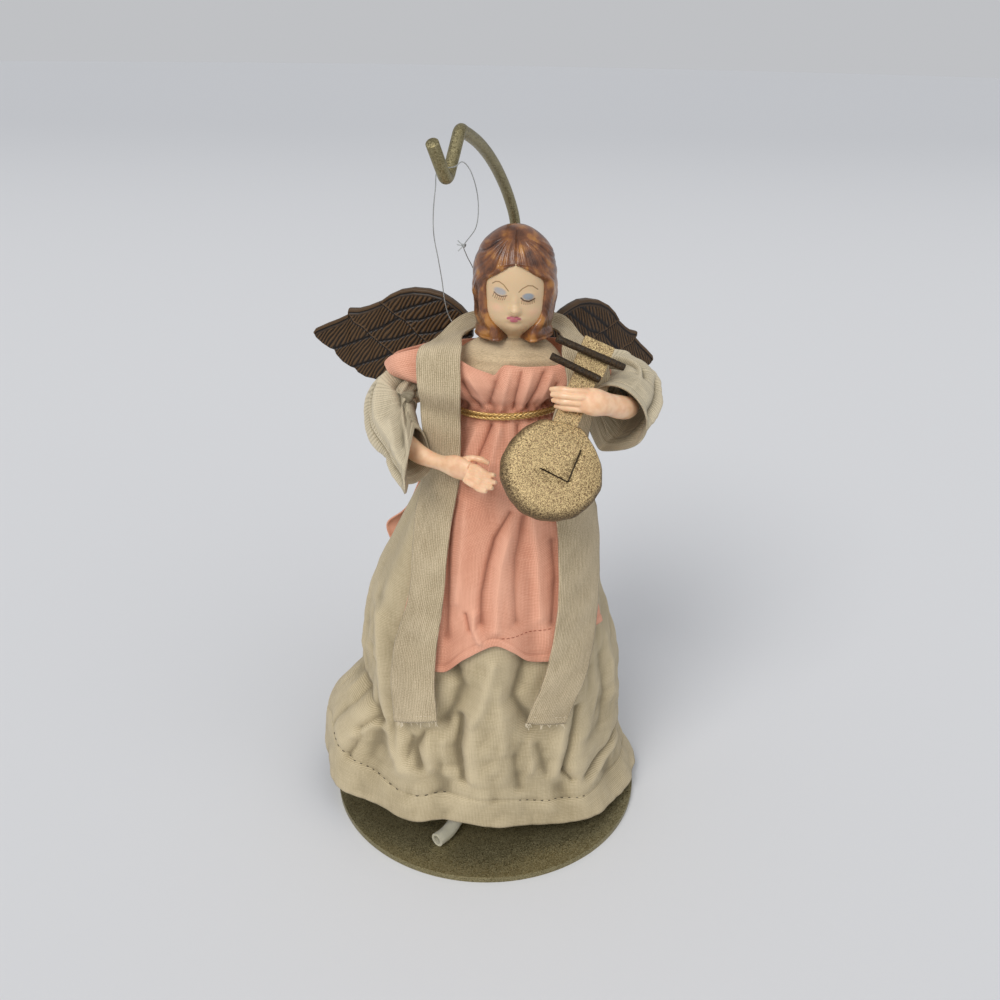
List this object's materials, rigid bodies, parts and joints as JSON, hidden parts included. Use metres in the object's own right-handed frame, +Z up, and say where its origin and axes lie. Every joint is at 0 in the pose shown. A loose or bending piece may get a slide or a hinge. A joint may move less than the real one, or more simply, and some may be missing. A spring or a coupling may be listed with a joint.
{
  "type": "angel tree topper with lute",
  "caption": "Robed angel figure with wings, playing a small lute, that slips over a tree's top and here stands on a round plate with a bent hanger rod.",
  "frame": {"origin": "centre of the underside of the stand plate", "axes": "+Z up, -Y the way the angel faces, +X to the right of the picture as seen from the front"},
  "size_m": [0.1371, 0.127, 0.2679],
  "materials": {
    "stand_paint": "olive-gold metallic paint with fine sparkle",
    "card": null,
    "clear_tube": "clear soft plastic",
    "foam": "hard foam core",
    "dowel": "bare wood",
    "wire": "soft steel wire",
    "head_paint": "moulded resin, ivory face and chestnut hair, glossy paint",
    "neck_knit": "fine heather beige knit",
    "beige_linen": "plain weave linen",
    "pink_linen": "salmon plain weave linen",
    "gold_cord": "metallic gold cord",
    "stole_weave": "coarse beige weave",
    "sage_linen": "sage linen",
    "hand_resin": "moulded resin, peach, glossy",
    "gold_glitter": "gold glitter over a moulded body",
    "dark_glitter": "dark brown with gold glitter",
    "wing_plastic": "dark bronze brown moulded plastic",
    "clear_line": "clear fishing line"
  },
  "bodies": {
    "stand": {"stand_plate": "stand_paint", "stand_rod": "stand_paint"},
    "figure": {"tree_cone": "card", "clear_tube": "clear_tube", "torso": "foam", "neck_dowel": "dowel", "arm_wire": "wire", "head": "head_paint", "bodice": "neck_knit", "skirt": "beige_linen", "tunic_front": "pink_linen", "tunic_back": "pink_linen", "belt": "gold_cord", "stole": "stole_weave", "sleeve_right": "sage_linen", "sleeve_left": "sage_linen", "wing_bar": "wing_plastic", "wing_left": "wing_plastic", "wing_right": "wing_plastic", "hang_line": "clear_line", "line_knot": "clear_line"},
    "right_forearm": {"forearm_right": "hand_resin"},
    "left_forearm": {"forearm_left": "hand_resin", "lute_body": "gold_glitter", "lute_neck": "gold_glitter", "lute_bar_upper": "dark_glitter", "lute_bar_lower": "dark_glitter"}
  },
  "joints": [
    {"name": "figure_lift", "type": "slide", "parent": "stand", "child": "figure", "axis": [0, 0, 1], "range_m": [0, 0.014]},
    {"name": "right_elbow", "type": "hinge", "parent": "figure", "child": "right_forearm", "pos_m": [-0.0372, -0.0073, 0.1656], "axis": [0, 0, 1], "range_deg": [-10, 0]},
    {"name": "left_elbow", "type": "hinge", "parent": "figure", "child": "left_forearm", "pos_m": [0.049, -0.0068, 0.1812], "axis": [0, 0, 1], "range_deg": [0, 6]}
  ]
}
